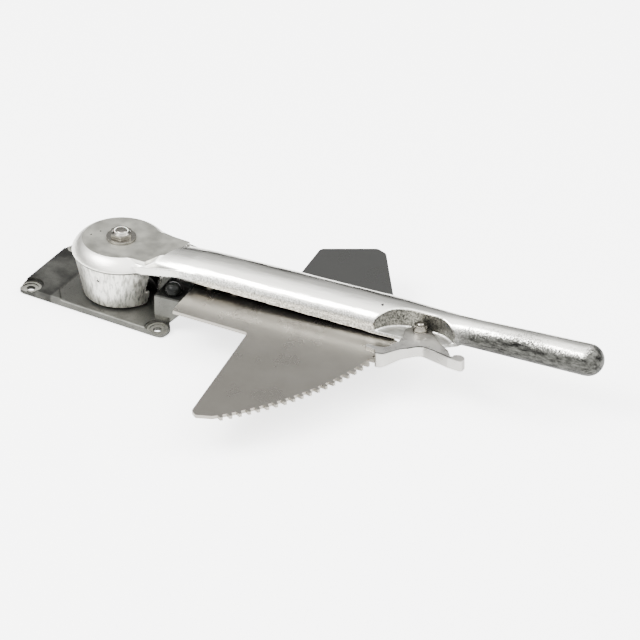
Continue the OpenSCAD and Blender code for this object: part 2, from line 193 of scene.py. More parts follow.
# %% [markdown]
# ## Casting and machining
# A casting is poured into sand, so none of its edges is sharp, and then a mill or a drill cuts the
# few faces that must be true. The same order works here. The rough forms are joined, remeshed into
# even small cells and smoothed, which rounds every edge as sand does. Only then are the flats and
# holes cut, so their edges stay crisp.
# %% Casting and machining
def combine(body, tool, how, **settings):
    """Join a body with a tool, or cut it, and throw the tool away."""
    apply_modifier(body, "BOOLEAN", operation=how, object=tool, solver="EXACT", **settings)
    bpy.data.objects.remove(tool)


def cast(body, cell, passes):
    """Give a body the soft edges of a casting. cell is the mesh size in millimetres."""
    apply_modifier(body, "REMESH", mode="VOXEL", voxel_size=cell * MM)
    apply_modifier(body, "SMOOTH", factor=0.5, iterations=passes)


def rod(name, x, y, low, high, radius, sides=64):
    """A plain drill, mill or boss: only ever used to cut a piece or to be joined to one."""
    bpy.ops.object.select_all(action="DESELECT")
    bpy.ops.mesh.primitive_cylinder_add(vertices=sides, radius=radius * MM, depth=(high - low) * MM,
                                        location=(x * MM, y * MM, (low + high) / 2 * MM))
    obj = bpy.context.object
    obj.name = name
    bpy.ops.object.transform_apply(location=True, rotation=True, scale=True)
    return obj


def block(name, low, high):
    """A plain block between two corners, for joining or cutting."""
    return plate(name, [(low[0], low[1]), (high[0], low[1]), (high[0], high[1]), (low[0], high[1])],
                 low[2], high[2])


def shade(obj, angle=32, flat=None):
    """Smooth the faces that meet gently. Faces with the finish given as flat stay truly flat."""
    pick(obj)
    bpy.ops.object.shade_smooth_by_angle(angle=math.radians(angle))
    for face in obj.data.polygons:
        if flat and obj.data.materials[face.material_index] == flat:
            face.use_smooth = False


# %% [markdown]
# ## Finishes
# Colours are written as sRGB hex, as a paint chart gives them, and turned to linear light by one
# function. Every pattern reads Object coordinates in metres, so a noise scale is one over the size
# of the grain it stands for. One helper adds a node, sets it and links it.
# %% Finish helpers
def colour(code):
    """An sRGB hex colour as linear red, green, blue and alpha."""
    channels = [int(code[i:i + 2], 16) / 255 for i in (0, 2, 4)]
    return [c / 12.92 if c <= 0.04045 else ((c + 0.055) / 1.055) ** 2.4 for c in channels] + [1]


def add(tree, kind, inputs=None, **settings):
    """Add a node. inputs maps a socket's name or number to a value or to another node's socket."""
    made = tree.nodes.new("ShaderNode" + kind)
    for key, value in settings.items():
        setattr(made, key, value)
    for key, value in (inputs or {}).items():
        if isinstance(value, bpy.types.NodeSocket):
            tree.links.new(value, made.inputs[key])
        else:
            made.inputs[key].default_value = value
    return made


def new_finish(name, constants):
    """A material with its shader's constants set; returns it with its tree, shader and coordinates."""
    material = bpy.data.materials.new(name)
    material.use_nodes = True
    tree = material.node_tree
    surface = tree.nodes["Principled BSDF"]
    for socket, value in constants.items():
        surface.inputs[socket].default_value = value
    place = add(tree, "TexCoord").outputs["Object"]
    return material, tree, surface, place


def grain(tree, place, size_mm, detail=2, rough=0.5, stretch=(1, 1, 1)):
    """Noise whose blotches are size_mm across, optionally stretched along an axis."""
    mapped = add(tree, "Mapping", {"Vector": place, "Scale": stretch}).outputs["Vector"]
    return add(tree, "TexNoise", {"Vector": mapped, "Scale": 1000 / size_mm, "Detail": detail,
                                  "Roughness": rough}).outputs["Fac"]


def spread(tree, value, low, high, to_low, to_high):
    """Map a value from one range to another, smoothly and clamped."""
    return add(tree, "MapRange", {"Value": value, "From Min": low, "From Max": high, "To Min": to_low,
                                  "To Max": to_high}, interpolation_type="SMOOTHSTEP").outputs["Result"]


def blend_colour(tree, factor, first, second):
    """Mix two colours by a factor. Either may be a hex code or a socket."""
    mix = add(tree, "Mix", {"Factor": factor}, data_type="RGBA")
    for slot_number, value in ((6, first), (7, second)):
        if isinstance(value, str):
            mix.inputs[slot_number].default_value = colour(value)
        else:
            tree.links.new(value, mix.inputs[slot_number])
    return mix.outputs[2]


def bump(tree, surface, height, depth_mm, strength=1.0):
    """Raise and sink the surface by depth_mm where height goes from 0 to 1."""
    relief = add(tree, "Bump", {"Height": height, "Distance": depth_mm * MM, "Strength": strength})
    tree.links.new(relief.outputs["Normal"], surface.inputs["Normal"])


def link(tree, value, surface, socket):
    tree.links.new(value, surface.inputs[socket])


# %% [markdown]
# A few more helpers keep the finishes short: a sum, a product and a blend of two numbers, one
# coordinate of a place, the distance from the pivot, and a fade between two places in millimetres.
# %% Sums and places for finishes
def times(tree, first, second):
    return add(tree, "Math", {0: first, 1: second}, operation="MULTIPLY").outputs[0]


def plus(tree, first, second):
    return add(tree, "Math", {0: first, 1: second}, operation="ADD").outputs[0]


def blend_value(tree, factor, first, second):
    return add(tree, "Mix", {"Factor": factor, 2: first, 3: second}).outputs[0]


def along(tree, place, axis):
    """One coordinate of a place, in metres."""
    return add(tree, "SeparateXYZ", {"Vector": place}).outputs[axis]


def lever_place(tree, place):
    """Coordinates turned back by the rest angle, so that X runs along the lever."""
    return add(tree, "Mapping", {"Vector": place, "Rotation": (0, 0, -REST_ANGLE)}).outputs["Vector"]


def from_pivot(tree, place):
    """The distance from the pivot's axis, in metres."""
    level = add(tree, "VectorMath", {0: place, 1: (1, 1, 0)}, operation="MULTIPLY")
    return add(tree, "VectorMath", {0: level.outputs["Vector"]}, operation="LENGTH").outputs["Value"]


def fade(tree, distance, start_mm, end_mm, at_start=0, at_end=1):
    """Go from one value to another between two places in millimetres."""
    return spread(tree, distance, start_mm * MM, end_mm * MM, at_start, at_end)


# %% [markdown]
# ### Polished casting
# The lever is sand-cast aluminium, tumbled and buffed by hand. Buffing leaves the tops bright, with
# long shallow ripples that break up reflections, while the grainy sand skin stays in the low places:
# on the flanges under the parting line and inside the pocket. The lower part of the handle and its end
# are painted dark, a painted reflection of the dark surroundings below them.
# %% Polished casting
def sand_skin(tree, place):
    """The pebbly skin that sand leaves: coarse pebbles with finer grit between them, 0 to 1."""
    pebbles = grain(tree, place, 1.5, 2, 0.55)
    grit = grain(tree, place, 0.8, 3, 0.7)
    return spread(tree, plus(tree, pebbles, grit), 0.68, 1.32, 0, 1)


def where_sandy(tree, place, skin, ripple):
    """1 where the sand skin is left and 0 where the buff has reached, and the same for the handle. On the
    handle the first mask also places the painted dark reflection.
    """
    x = along(tree, place, "X")
    on_handle = fade(tree, x, 270, 320)
    # the skin starts at the parting line, and higher up on the handle, with an uneven edge
    uneven = plus(tree, spread(tree, ripple, 0.3, 0.7, -1.2 * MM, 1.2 * MM), along(tree, place, "Z"))
    # on the handle and over its end dome the line is raised, so the painted dark reflection covers more of
    # them
    raised = plus(tree, fade(tree, x, 270, 350, 5 * MM, 12.5 * MM), fade(tree, x, 409, 426, 0, 14 * MM))
    above_line = add(tree, "Math", {0: uneven, 1: raised}, operation="SUBTRACT").outputs[0]
    # along the handle the change is gradual and broken up by the grain
    ragged = plus(tree, times(tree, skin, 6 * MM), above_line)
    crisp_side = fade(tree, above_line, 45, 47.5, 1, 0)
    ragged_side = fade(tree, ragged, 45.5, 52.5, 1, 0)
    low_side = blend_value(tree, on_handle, crisp_side, ragged_side)
    return times(tree, low_side, fade(tree, x, 50, 70)), on_handle


def hub_marks(tree, place, radius, clean):
    """The hub's skirt is brushed up and down, and the crease under its rim is painted dark as painted
    shade.
    """
    z = along(tree, place, "Z")
    brushed = grain(tree, place, 2.2, 4, 0.65, (1, 1, 0.14))
    skirt = times(tree, fade(tree, z, 43, 44, 1, 0), fade(tree, radius, 40, 41, 0.75, 0))
    streaks = times(tree, skirt, spread(tree, brushed, 0.42, 0.66, 0, 1))
    # painted shade: the crease under the rim is darkened towards 30302E
    rim_crease_shade = times(tree, fade(tree, z, 42.2, 43.2), fade(tree, z, 44.4, 45, 1, 0))
    crease = times(tree, rim_crease_shade, fade(tree, radius, 40, 41.5, 0.85, 0))
    return blend_colour(tree, crease, blend_colour(tree, streaks, clean, "7C7B75"), "30302E")


def polished_casting():
    material, tree, surface, place = new_finish("buffed_cast_aluminium", {"Metallic": 1})
    lever_way = lever_place(tree, place)
    skin = sand_skin(tree, lever_way)
    ripple = grain(tree, lever_way, 7, 2, 0.5, (0.3, 1, 1))
    smear = grain(tree, lever_way, 20, 3, 0.6, (0.25, 1, 1))
    sandy, on_handle = where_sandy(tree, lever_way, skin, ripple)
    # the hub was tumbled, so it is softer than the buffed beam
    radius = from_pivot(tree, place)
    beam_rough = spread(tree, smear, 0.3, 0.7, 0.1, 0.24)
    buffed_rough = blend_value(tree, fade(tree, radius, 42, 60, 1, 0), beam_rough, 0.36)
    sandy_rough = spread(tree, skin, 0, 1, 0.55, 0.3)
    link(tree, blend_value(tree, sandy, buffed_rough, sandy_rough), surface, "Roughness")
    # painted reflection: the handle's sand skin is painted dark with streaks, standing in for the dark
    # surroundings it reflects, and the flanges stay clean
    bright = blend_colour(tree, smear, "DFDDD3", "F6F5F0")
    rubbed = blend_colour(tree, skin, "8A8983", "FAF9F4")
    streaks = grain(tree, lever_way, 3.2, 4, 0.7, (0.35, 1, 1))
    painted_dark_reflection = blend_colour(tree, spread(tree, streaks, 0.3, 0.7, 0, 1), "161615", "5C5C58")
    clean = blend_colour(tree, sandy, bright, blend_colour(tree, on_handle, rubbed, painted_dark_reflection))
    link(tree, hub_marks(tree, place, radius, clean), surface, "Base Color")
    # fine scratches and shallow ripples run along the lever, the way the buff does
    scratches = grain(tree, lever_way, 0.9, 2, 0.6, (0.08, 1, 1))
    deep = times(tree, skin, spread(tree, sandy, 0, 1, 0.04, 0.45))
    waves = plus(tree, times(tree, scratches, 0.12), times(tree, ripple, 1.7))
    bump(tree, surface, plus(tree, deep, waves), 0.22, 0.8)
    return material


def pocket_skin():
    """The pocket's wall is as cast all over, and dark because no buff reaches it."""
    material, tree, surface, place = new_finish("as_cast_pocket_wall", {"Metallic": 1})
    skin = sand_skin(tree, place)
    link(tree, spread(tree, skin, 0, 1, 0.55, 0.32), surface, "Roughness")
    link(tree, blend_colour(tree, skin, "222221", "7A7972"), surface, "Base Color")
    bump(tree, surface, skin, 0.12, 0.7)
    return material


def ground_shelf():
    """The pocket's shelf is ground flat for the pawl to slide on, so it is bright with fine marks."""
    material, tree, surface, place = new_finish("ground_shelf", {"Metallic": 1})
    marks = grain(tree, place, 0.9, 3, 0.6, (0.3, 1, 1))
    link(tree, spread(tree, marks, 0.3, 0.7, 0.3, 0.45), surface, "Roughness")
    link(tree, blend_colour(tree, marks, "E2E1DB", "FAF9F5"), surface, "Base Color")
    bump(tree, surface, marks, 0.02, 0.5)
    return material


# %% [markdown]
# ### Milled and satin aluminium
# The hub's top was faced with a mill and then tumbled, so it is matt and a little warm, with faint
# cutter marks. The bracket is the same alloy as cast: dull grey, grainy and darker in its pores.
# %% Milled and satin aluminium
def milled_face():
    material, tree, surface, place = new_finish("milled_tumbled_aluminium", {"Metallic": 1})
    fine = grain(tree, place, 0.9, 2, 0.6)
    cloud = grain(tree, place, 16, 3, 0.55)
    link(tree, spread(tree, cloud, 0.3, 0.7, 0.36, 0.5), surface, "Roughness")
    link(tree, blend_colour(tree, cloud, "84837B", "C4C3BA"), surface, "Base Color")
    rings = add(tree, "TexWave", {"Vector": place, "Scale": 260.0, "Distortion": 1.5, "Detail": 2.0},
                wave_type="RINGS", rings_direction="Z").outputs["Fac"]
    bump(tree, surface, plus(tree, fine, rings), 0.02, 0.6)
    return material


def sand_cast_grey():
    material, tree, surface, place = new_finish("sand_cast_aluminium", {"Metallic": 1})
    skin = grain(tree, place, 1.3, 4, 0.6)
    cloud = grain(tree, place, 26, 3, 0.6)
    link(tree, spread(tree, skin, 0.35, 0.65, 0.38, 0.6), surface, "Roughness")
    # the thicker far end of the web is darker than the rest
    near_end = fade(tree, along(tree, place, "X"), -44, -42)
    base = blend_colour(tree, near_end, "30302E", "565652")
    shade_of = blend_colour(tree, spread(tree, cloud, 0.35, 0.75, 0, 0.5), base, "7A7A74")
    pores = spread(tree, skin, 0.28, 0.42, 1, 0)
    pitted = blend_colour(tree, pores, shade_of, "262623")
    # painted shadow: above 29 mm this finish is painted near black, for the shade on top of the arm under
    # the lever; the lever's channel, hollow and pits and the pawl's groove share this finish and are
    # darkened the same way
    painted_shadow_high = fade(tree, along(tree, place, "Z"), 28.5, 29.5, 0, 0.9)
    link(tree, blend_colour(tree, painted_shadow_high, pitted, "1C1C1B"), surface, "Base Color")
    bump(tree, surface, skin, 0.12, 0.8)
    return material


# %% [markdown]
# ### Sheet steel and tumbled steel
# The quadrant is blanked from rolled stainless sheet. Rolling leaves very fine lines along one
# direction and a satin reflection, and handling leaves faint smudges. The pawl is a steel casting
# tumbled with stones, so it is even, pale and satin all over.
# %% Sheet steel and tumbled steel
def rolled_sheet():
    material, tree, surface, place = new_finish("rolled_stainless_sheet", {"Metallic": 1})
    lines = grain(tree, place, 0.7, 2, 0.5, (0.04, 1, 1))
    smudge = grain(tree, place, 34, 4, 0.6)
    link(tree, spread(tree, smudge, 0.1, 0.9, 0.26, 0.3), surface, "Roughness")
    # painted shade: the far wing, beyond the lever, is painted a darker grey
    tumbled = blend_colour(tree, spread(tree, smudge, 0.1, 0.9, 0, 1), "908C84", "9C9890")
    far_wing_shade = fade(tree, along(tree, lever_place(tree, place), "Y"), 0, 30)
    link(tree, blend_colour(tree, far_wing_shade, tumbled, "626260"), surface, "Base Color")
    bump(tree, surface, lines, 0.012, 0.7)
    return material


def tumbled_steel():
    material, tree, surface, place = new_finish("tumbled_cast_steel", {"Metallic": 1})
    stones = grain(tree, place, 0.8, 3, 0.6)
    cloud = grain(tree, place, 8, 2, 0.5)
    link(tree, spread(tree, cloud, 0.3, 0.7, 0.26, 0.36), surface, "Roughness")
    link(tree, blend_colour(tree, cloud, "B0AEA9", "C6C4BF"), surface, "Base Color")
    bump(tree, surface, stones, 0.025, 0.7)
    return material


# %% [markdown]
# ### Bought parts
# Nuts, bolts and washers are steel with bright zinc plate, which is shiny with a slightly cloudy
# skin. The quadrant's screws are black oxide. The bushes are sintered bronze, and the nut's locking
# ring is natural nylon, which lets a little light in.
# %% Bought parts
def bright_zinc():
    material, tree, surface, place = new_finish("bright_zinc_plate", {"Metallic": 1})
    cloud = grain(tree, place, 2.5, 3, 0.6)
    link(tree, spread(tree, cloud, 0.3, 0.7, 0.12, 0.22), surface, "Roughness")
    link(tree, blend_colour(tree, cloud, "6F6C66", "9D9A93"), surface, "Base Color")
    bump(tree, surface, cloud, 0.008, 0.5)
    return material


def black_oxide():
    material, tree, surface, place = new_finish("black_oxide_steel", {"Metallic": 0.6})
    cloud = grain(tree, place, 1.5, 3, 0.6)
    link(tree, spread(tree, cloud, 0.3, 0.7, 0.32, 0.5), surface, "Roughness")
    link(tree, blend_colour(tree, cloud, "17171A", "2A2A2C"), surface, "Base Color")
    bump(tree, surface, cloud, 0.01, 0.5)
    return material


def sintered_bronze():
    material, tree, surface, place = new_finish("sintered_bronze", {"Metallic": 1})
    pores = grain(tree, place, 0.5, 2, 0.6)
    link(tree, spread(tree, pores, 0.35, 0.6, 0.5, 0.36), surface, "Roughness")
    filled = spread(tree, pores, 0.35, 0.5, 0, 1)
    link(tree, blend_colour(tree, filled, "6E5330", "A98450"), surface, "Base Color")
    bump(tree, surface, pores, 0.02, 0.6)
    return material


def spring_wire():
    material, tree, surface, place = new_finish("drawn_spring_wire", {"Metallic": 1})
    drawn = grain(tree, place, 0.4, 2, 0.5)
    link(tree, spread(tree, drawn, 0.3, 0.7, 0.22, 0.36), surface, "Roughness")
    link(tree, blend_colour(tree, drawn, "8A8A8C", "A8A8AA"), surface, "Base Color")
    bump(tree, surface, drawn, 0.008, 0.5)
    return material


def moulded_rubber():
    material, tree, surface, place = new_finish("moulded_rubber", {"Specular IOR Level": 0.1})
    fine = grain(tree, place, 0.6, 2, 0.6)
    link(tree, spread(tree, fine, 0.3, 0.7, 0.24, 0.34), surface, "Roughness")
    link(tree, blend_colour(tree, fine, "060706", "0E0F0E"), surface, "Base Color")
    bump(tree, surface, fine, 0.02, 0.5)
    return material


def natural_nylon():
    glow_through = {"Subsurface Weight": 0.1, "Subsurface Scale": 0.5 * MM}
    material, tree, surface, place = new_finish("natural_nylon", glow_through)
    fine = grain(tree, place, 0.8, 2, 0.6)
    link(tree, spread(tree, fine, 0.3, 0.7, 0.35, 0.5), surface, "Roughness")
    link(tree, blend_colour(tree, fine, "C9C8BF", "DDDCD4"), surface, "Base Color")
    bump(tree, surface, fine, 0.01, 0.5)
    return material


FINISH = {
    "cast_polished": polished_casting(), "cast_satin": sand_cast_grey(), "sheet_steel": rolled_sheet(),
    "cast_steel": tumbled_steel(), "plated_steel": bright_zinc(), "black_steel": black_oxide(),
    "bronze": sintered_bronze(), "spring_steel": spring_wire(), "rubber": moulded_rubber(),
    "nylon": natural_nylon()}
MILLED = milled_face()
POCKET_SKIN = pocket_skin()
BRIGHT_SHELF = ground_shelf()
print("finishes:", len(FINISH) + 3)


def finish(obj, slot_name):
    """Give a whole piece one finish and drop any other slot."""
    obj.data.materials.clear()
    obj.data.materials.append(FINISH[slot_name])


for entry in frame["record"]["subparts"]:
    finish(nodes[entry["node"]], entry["material_slot"])


def finish_faces(obj, material, wanted):
    """Give a second finish to the faces for which wanted(centre in millimetres, normal) is true."""
    obj.data.materials.append(material)
    number = len(obj.data.materials) - 1
    chosen = [face for face in obj.data.polygons if wanted(face.center / MM, face.normal)]
    for face in chosen:
        face.material_index = number
    print(obj.name, material.name, len(chosen), "faces")


# %% [markdown]
# ## The lever
# The lever is one aluminium casting: a round hub with a skirt, a hollow beam with a rounded crown
# and straight flanges, a thick neck with a pocket for the pawl, and a round handle. Each is a plate
# or a limb, and they are joined before the casting step.
# %% Lever: outside of the hub
HUB_TOP = 55
MILL_ALLOWANCE = 1
FLAT_R = 27
RIM_R = 40
RIM_Z = 45
PARTING = 46.7
BEAM_HALF = 20
CHANNEL_HALF = 15.8
HANDLE_Z = 47.9
HANDLE_RISE = 1.8
HANDLE_END = 411.5


def shoulder(steps):
    """The hub's shoulder: part of an ellipse that leaves the rim at a slant and ends level."""
    slant = math.radians(28)
    angles = [slant + (math.pi / 2 - slant) * k / steps for k in range(steps + 1)]
    wide, high = RIM_R - FLAT_R, HUB_TOP + MILL_ALLOWANCE - RIM_Z
    return [(FLAT_R + wide * math.cos(a) / math.cos(slant),
             RIM_Z + high * (math.sin(a) - math.sin(slant)) / (1 - math.sin(slant))) for a in angles]


lever = turned("lever_casting", [(30.6, 7), (38.3, 43.8), (39.6, 44.5)] + shoulder(10))
print("hub:", len(lever.data.vertices), "points")

# %% Lever: crown, neck and handle as one limb
END_R = 13.2
END_Z = HANDLE_Z + HANDLE_RISE
dome = [(HANDLE_END + END_R * math.sin(math.radians(a)), END_Z, END_R * math.cos(math.radians(a)),
         END_R * math.cos(math.radians(a))) for a in (15, 30, 45, 60, 72, 82)]
beam = [(34, 46.5, BEAM_HALF, 7.5), (44, PARTING, BEAM_HALF, 9.2), (56, PARTING, BEAM_HALF, 10.4),
        (70, PARTING, BEAM_HALF, 11.4), (90, PARTING, BEAM_HALF, 11.8), (232, PARTING, BEAM_HALF, 11.8)]
neck = [(250, 46.8, 18.9, 11.8), (268, 46.9, 16.6, 11.8), (286, 47.4, 13.9, 11.6), (300, 47.8, 12, 11.6)]
handle = [(312, 48, 11.7, 11.7), (HANDLE_END, END_Z, END_R, END_R)]
crown = limb("crown", beam + neck + handle + dome)
# the crown starts on a slant, parallel to the far edge of the milled flat
FULL_X, SLANT_RUN, SLANT = 90, 24, 0.4
for vertex in crown.data.vertices:
    nearness = min(1, max(0, (FULL_X * MM - vertex.co.x) / (SLANT_RUN * MM)))
    vertex.co.x += SLANT * vertex.co.y * nearness
combine(lever, crown, "UNION")
print("crown, neck and handle joined:", len(lever.data.vertices), "points")

# %% Lever: flanges, the run from the hub and the milled pad
FLANGE_HALF = BEAM_HALF - 1
flanges = plate("flanges", [(40, -FLANGE_HALF), (236, -FLANGE_HALF), (262, -15.4), (262, 15.4),
                            (236, FLANGE_HALF), (40, FLANGE_HALF)], 30, 47.6)
slope = plate("slope", [(30, -30), (270, -30), (270, 30), (30, 30)], 20, 36)
for vertex in slope.data.vertices:
    if vertex.co.z > 0.03:
        vertex.co.z = max(36, 42 - (vertex.co.x / MM - 59) * 0.0392) * MM
combine(flanges, slope, "DIFFERENCE")
combine(lever, flanges, "UNION")
run_out = plate("run_out", rounded([
    (10, -33, 6), (60, -BEAM_HALF, 8), (74, -BEAM_HALF, 0), (74, BEAM_HALF, 0), (60, BEAM_HALF, 8),
    (10, 33, 6)]), 43.2, 50.6)
combine(lever, run_out, "UNION")
pad = plate("pad", [(0, -24), (33.4, -26.1), (53.3, 17.5), (0, 24)], 49, 56.5)
combine(lever, pad, "UNION")
print("lever forms joined:", len(lever.data.vertices), "points")

# %% Lever: hollow hub, channel and pocket
hollow = turned("hollow", [(27, 4), (33.4, 43), (31.5, 48.4), (26, 49)], 64)
MOUTH_HALF = math.radians(20)
mouth_x, mouth_y = 60 * math.cos(MOUTH_HALF), 60 * math.sin(MOUTH_HALF)
mouth = plate("mouth", [(0, 0), (mouth_x, -mouth_y), (mouth_x, mouth_y)], 4, 43)
channel = limb("channel", [(24, 46, CHANNEL_HALF, 4.4), (224, 46, CHANNEL_HALF, 4.4)], sides=48)
below = block("below", (24, -CHANNEL_HALF, 20), (224, CHANNEL_HALF, 46))
combine(channel, below, "UNION")
for cutter in (hollow, mouth, channel):
    combine(lever, cutter, "DIFFERENCE")
print("lever hollowed:", len(lever.data.vertices), "points")

# %% Lever: pocket, its shelf and the bosses
SHELF_Z = 40
POCKET_X0, POCKET_X1, POCKET_Y, POCKET_R = 231, 307, -31.2, 30
pocket = plate("pocket", rounded([
    (POCKET_X0, POCKET_Y + POCKET_R, POCKET_R), (POCKET_X1, POCKET_Y + POCKET_R, POCKET_R),
    (POCKET_X1, -60, 0), (POCKET_X0, -60, 0)], 16), SHELF_Z, 62)
# the wall leans out over the shelf a little
for vertex in pocket.data.vertices:
    if vertex.co.z > 60 * MM:
        vertex.co.y -= 4 * MM
combine(lever, pocket, "DIFFERENCE")
shelf = plate("shelf", rounded([(228, -19.4, 0), (288, -18.6, 10), (302, -8, 0), (302, 6, 0), (228, 6, 0)]),
              36.6, SHELF_Z)
combine(lever, shelf, "UNION")
for boss in (rod("hub_boss", 0, 0, 36.2, 54, 14), rod("pawl_boss", PAWL_X, PAWL_Y, 33, SHELF_Z, 10)):
    combine(lever, boss, "UNION")
print("pocket cut:", len(lever.data.vertices), "points")

# %% Lever: cast, then mill the flat and drill the holes
cast(lever, 0.85, 4)


def blow_hole(x, y, z, radius):
    """A small pit where gas was trapped in the metal."""
    bpy.ops.object.select_all(action="DESELECT")
    bpy.ops.mesh.primitive_ico_sphere_add(subdivisions=2, radius=radius * MM,
                                          location=(x * MM, y * MM, z * MM))
    hole = bpy.context.object
    bpy.ops.object.transform_apply(location=True, rotation=True, scale=True)
    combine(lever, hole, "DIFFERENCE")


mill = plate("mill", [(-50, -50), (25, -50), (74.7, 60), (-50, 60)], HUB_TOP, 80)
combine(lever, mill, "DIFFERENCE")
PITS = ((-3.3, -35.5, 33, 1.1), (-19.3, 1.8, 55.3, 0.9), (234.7, -7.1, 58, 1.0), (-24, -6, 54.8, 0.8))
for x, y, z, radius in PITS:
    blow_hole(x, y, z, radius)
for drill in (rod("bush_bore", 0, 0, 30, 60, 7), rod("bolt_bore", PAWL_X, PAWL_Y, 30, 45, 3.1),
              rod("spring_seat", PAWL_X, PAWL_Y, 36.6, 44, 8)):
    combine(lever, drill, "DIFFERENCE")
print("lever machined:", len(lever.data.vertices), "points")


# %% Lever: which faces take another finish
def inside_lever(at, way):
    """The beam's channel and the hub's hollow, where the casting is left grey; above 29 mm that finish is
    painted near black as painted shade under the lever.
    """
    out = math.hypot(at.x, at.y)
    in_channel = 36 < at.x < 233 and abs(at.y) < CHANNEL_HALF + 0.8
    facing_pivot = out < 36 and at.x * way.x + at.y * way.y < 0
    underside = out < 34 and way.z < -0.7
    return way.z < 0.3 and at.z < 52 and (in_channel or facing_pivot or underside)


def in_pocket(at):
    """Whether a place lies inside the pocket's outline, seen from above."""
    middle_x = min(max(at.x, POCKET_X0 + POCKET_R), POCKET_X1 - POCKET_R)
    return at.y > -26 and math.dist((at.x, at.y), (middle_x, POCKET_Y)) < POCKET_R + 0.4


def in_a_pit(at):
    return any(abs(math.dist(at, (x, y, z)) - radius) < 0.12 for x, y, z, radius in PITS)


def on_shelf(at):
    return POCKET_X0 - 2 < at.x < POCKET_X1 + 2 and -26 < at.y < 1 and abs(at.z - SHELF_Z) < 2


finish(lever, "cast_polished")
finish_faces(lever, MILLED, lambda at, way: way.z > 0.99 and abs(at.z - HUB_TOP) < 0.05)
finish_faces(lever, FINISH["cast_satin"], inside_lever)
finish_faces(lever, BRIGHT_SHELF, lambda at, way: way.z > 0.6 and on_shelf(at))
finish_faces(lever, POCKET_SKIN, lambda at, way: way.z < 0.5 and 41 < at.z < 57 and in_pocket(at))
# the pits take the same grey cast finish, painted near black here as painted shade
finish_faces(lever, FINISH["cast_satin"], lambda at, way: in_a_pit(at))
turn_to_rest(lever)
shade(lever, flat=MILLED)
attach(lever, "lever_arm")
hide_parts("lever")
print("lever:", triangles(lever), "triangles")

# %% [markdown]
# ## The bracket
# The bracket is a coarse sand casting that nobody polished: a flat web with four bored feet, a post
# for the stud, and a boxy arm that holds the quadrant up. The web's far end is a little thicker, and
# a step in the sand mould shows where it starts. Each hole has a stack of stepped rings round it, cut
# by a spot-facing tool, so those are machined after the casting step.
# %% Bracket: web, post and arm
WEB_T = 5.5
SEAT_Z = 32
HOLES = [(-5.8 + sx * 60, 3 + sy * 35, sx, sy) for sx in (-1, 1) for sy in (-1, 1)]

bracket = plate("bracket_casting", rounded([
    (-74, -38.5, 4), (63, -38.5, 5), (63, -26, 4), (50, -12, 6), (50, 18, 6), (63, 32, 4), (63, 45, 5),
    (-74, 45, 3)]), 0, WEB_T)
far_pad = plate("far_pad", rounded([(-74, -38.5, 4), (-33.4, -38.5, 1), (-43, -26, 3),
                                    (-43, 45, 1), (-74, 45, 3)]), 3, WEB_T + 1.1)
combine(bracket, far_pad, "UNION")
post = turned("post", [(20, 4), (18.4, 7), (16, 9), (14.4, 12), (14, 34.5)], 64)
combine(bracket, post, "UNION")


ARM_HALF = 31
CHEEK_T = 6


def arm_box(name, x_range, half, z_range):
    """A block of the arm, along the lever at rest."""
    piece = block(name, (x_range[0], -half, z_range[0]), (x_range[1], half, z_range[1]))
    turn_to_rest(piece)
    return piece


def cheek(side):
    """One upright wall of the arm: it flares into the web at its foot and runs out to the tip."""
    side_view = [(44, 3), (54, 3), (74, 24), (112, 24), (112, 32.4), (68, 32.4), (68, 30), (44, 30)]
    wall = plate("cheek", side_view, -CHEEK_T / 2, CHEEK_T / 2)
    across = Matrix.Translation((0, side * (ARM_HALF - CHEEK_T / 2) * MM, 0))
    wall.data.transform(across @ Matrix.Rotation(math.radians(90), 4, "X"))
    turn_to_rest(wall)
    tidy_normals(wall)
    return wall


for piece in (cheek(-1), cheek(1), arm_box("deck", (68, 112), ARM_HALF - 0.1, (24, 32.4)),
              arm_box("step", (44.2, 69), ARM_HALF - 0.1, (24, 29.9))):
    combine(bracket, piece, "UNION")
print("bracket forms joined:", len(bracket.data.vertices), "points")

# %% Bracket: cast, then machine
cast(bracket, 0.7, 3)
seat_mill = arm_box("seat_mill", (67.9, 130), 50, (SEAT_Z, 50))
combine(bracket, seat_mill, "DIFFERENCE")
foot_mill = block("foot_mill", (-100, -60, -5), (130, 70, 0.02))
combine(bracket, foot_mill, "DIFFERENCE")
post_mill = rod("post_mill", 0, 0, 34, 40, 20)
combine(bracket, post_mill, "DIFFERENCE")
EAR_Z = 3
RING_Z = 3.9
for x, y, sx, sy in HOLES:
    for radius, ring_floor in ((10.5, 4.7), (8.5, RING_Z), (6.5, EAR_Z)):
        combine(bracket, rod("spot_face", x, y, ring_floor, 12, radius, 48), "DIFFERENCE")
    out_x, out_y = x + 20 * sx, y + 20 * sy
    corner = block("corner", (min(x, out_x), min(y, out_y), EAR_Z), (max(x, out_x), max(y, out_y), 12))
    combine(bracket, corner, "DIFFERENCE")
    combine(bracket, rod("bolt_hole", x, y, -3, 12, 3.5, 48), "DIFFERENCE")
combine(bracket, rod("stud_hole", 0, 0, 12, 40, 5, 48), "DIFFERENCE")
bumper_hole = rod("bumper_hole", 57, -22, 23, 40, 2, 24)
turn_to_rest(bumper_hole)
combine(bracket, bumper_hole, "DIFFERENCE")
finish(bracket, "cast_satin")
finish_faces(bracket, MILLED, lambda at, way: way.z > 0.99
             and min(abs(at.z - EAR_Z), abs(at.z - RING_Z)) < 0.05)
shade(bracket, 40, flat=MILLED)
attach(bracket, "base")
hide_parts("bracket")
print("bracket:", triangles(bracket), "triangles")
